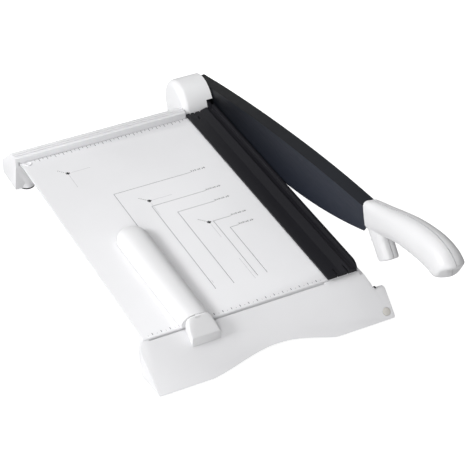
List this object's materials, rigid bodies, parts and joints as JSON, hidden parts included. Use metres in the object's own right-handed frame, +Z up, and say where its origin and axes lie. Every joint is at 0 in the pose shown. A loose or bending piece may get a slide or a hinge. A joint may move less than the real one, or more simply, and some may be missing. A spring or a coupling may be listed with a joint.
{
  "type": "lever paper trimmer",
  "caption": "Lever-arm paper trimmer: flat table with rear fence, sliding side stop, long curved knife on a pivoting arm with a white grip, and a clamp bar beside the cutting edge.",
  "frame": {"origin": "bottom centre of the bounding box at rest, on the surface it stands on", "axes": "+X from the table towards the cutting side, +Y from the handle end towards the pivot, +Z up"},
  "size_m": [0.281, 0.576, 0.1749],
  "materials": {
    "white_plastic": "satin white moulding",
    "bed_paint": "satin light grey powder coat",
    "handle_white": "smooth white moulding",
    "black_plastic": "satin black moulding",
    "black_anodised": "black anodised extrusion",
    "arm_paint": "blue-black paint on cast aluminium",
    "knife_steel": "black coated tool steel",
    "rubber": "matt black",
    "steel": "zinc-plated steel",
    "dark_steel": "blackened steel",
    "bronze": "sintered bronze",
    "cover": "cream plug"
  },
  "bodies": {
    "base": {"table_bed": "bed_paint", "front_rail": "white_plastic", "rear_rail": "white_plastic", "drum_housing": "white_plastic", "edge_beam": "dark_steel", "lower_blade": "steel", "pivot_bracket": "dark_steel", "pivot_bush": "bronze", "bed_stiffener": "dark_steel", "arm_buffer": "rubber", "table_plug": "white_plastic", "screw_cover": "cover", "rail_screw": "steel", "housing_screw": "steel", "lower_blade_screw_1": "steel", "lower_blade_screw_2": "steel", "lower_blade_screw_3": "steel", "beam_screw_1": "steel", "beam_screw_2": "steel", "bed_screw_1": "steel", "bed_screw_2": "steel", "bed_screw_3": "steel", "bed_screw_4": "steel", "foot_front_left": "rubber", "foot_front_right": "rubber", "foot_rear_left": "rubber", "foot_rear_right": "rubber", "guide_bush_front": "bronze", "guide_bush_rear": "bronze"},
    "arm": {"arm_beam": "arm_paint", "upper_blade": "knife_steel", "pivot_shaft": "steel", "pivot_nut": "steel", "friction_washer": "steel", "pivot_cap": "black_plastic", "clamp_cam": "steel", "handle_shell_inner": "handle_white", "handle_shell_outer": "handle_white", "knife_screw_1": "dark_steel", "knife_screw_2": "dark_steel", "knife_screw_3": "dark_steel", "handle_screw_1": "steel", "handle_screw_2": "steel"},
    "clamp": {"clamp_bar": "black_anodised", "clamp_pad": "rubber", "clamp_pin_front": "steel", "clamp_clip_front": "steel", "clamp_spring_front": "steel", "clamp_pin_rear": "steel", "clamp_clip_rear": "steel", "clamp_spring_rear": "steel"},
    "side_stop": {"stop_bar": "white_plastic", "stop_shoe": "dark_steel", "stop_screw": "steel"},
    "lock_lever": {"stop_lever": "white_plastic", "stop_pin": "steel"}
  },
  "joints": [
    {"name": "blade_arm", "type": "hinge", "parent": "base", "child": "arm", "pos_m": [0.11755, 0.25639, 0.0425], "axis": [-1, 0, 0], "range_deg": [-8.5, 50]},
    {"name": "clamp_lift", "type": "slide", "parent": "base", "child": "clamp", "axis": [0, 0, 1], "range_m": [-0.0006, 0.0028], "deforming": ["clamp_spring_front", "clamp_spring_rear"]},
    {"name": "side_stop_slide", "type": "slide", "parent": "base", "child": "side_stop", "axis": [1, 0, 0], "range_m": [-0.049, 0.137]},
    {"name": "lock_lever_hinge", "type": "hinge", "parent": "side_stop", "child": "lock_lever", "pos_m": [-0.07345, -0.12901, 0.0567], "axis": [-1, 0, 0], "range_deg": [0, 30]}
  ],
  "couplings": [
    {"joint": "clamp_lift", "follows": "blade_arm", "m_per_rad": 0.003}
  ]
}
